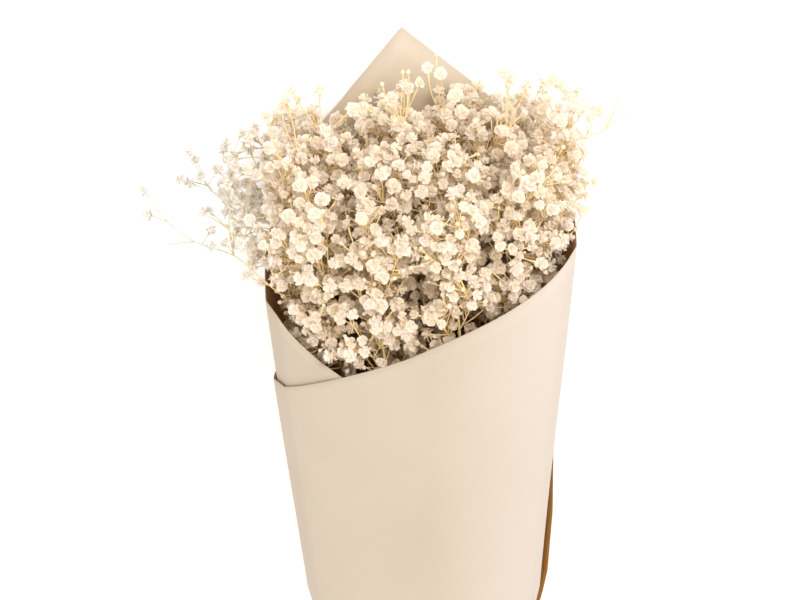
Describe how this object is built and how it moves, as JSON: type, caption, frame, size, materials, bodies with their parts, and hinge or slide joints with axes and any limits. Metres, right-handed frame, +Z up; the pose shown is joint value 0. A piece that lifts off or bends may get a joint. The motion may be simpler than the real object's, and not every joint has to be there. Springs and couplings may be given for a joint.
{
  "type": "paper-wrapped bunch of dried gypsophila",
  "caption": "Bunch of dried, bleached gypsophila sprays wrapped in a rolled sheet of plain kraft paper, tied round the neck with cord and lying on its back.",
  "frame": {"origin": "on the flat strip of paper under the bunch that it rests on, at about the middle of the wrap's length", "axes": "+Y along the bunch from the cut ends to the flower heads, +Z up from the surface it lies on, +X to the right seen from above with the heads at the top"},
  "size_m": [0.2657, 0.6154, 0.1179],
  "materials": {
    "paper": "matt",
    "dried_flower": "matt",
    "cord": "matt"
  },
  "bodies": {
    "root": {"paper_wrap": "paper", "neck_cord": "cord", "gypsophila_spray_01": "dried_flower", "gypsophila_spray_02": "dried_flower", "gypsophila_spray_03": "dried_flower", "gypsophila_spray_04": "dried_flower", "gypsophila_spray_05": "dried_flower", "gypsophila_spray_06": "dried_flower", "gypsophila_spray_07": "dried_flower", "gypsophila_spray_08": "dried_flower", "gypsophila_spray_09": "dried_flower", "gypsophila_spray_10": "dried_flower", "gypsophila_spray_11": "dried_flower", "gypsophila_spray_12": "dried_flower", "gypsophila_spray_13": "dried_flower", "gypsophila_spray_14": "dried_flower", "gypsophila_spray_15": "dried_flower", "gypsophila_spray_16": "dried_flower", "gypsophila_spray_17": "dried_flower", "gypsophila_spray_18": "dried_flower", "gypsophila_spray_19": "dried_flower"}
  },
  "joints": []
}
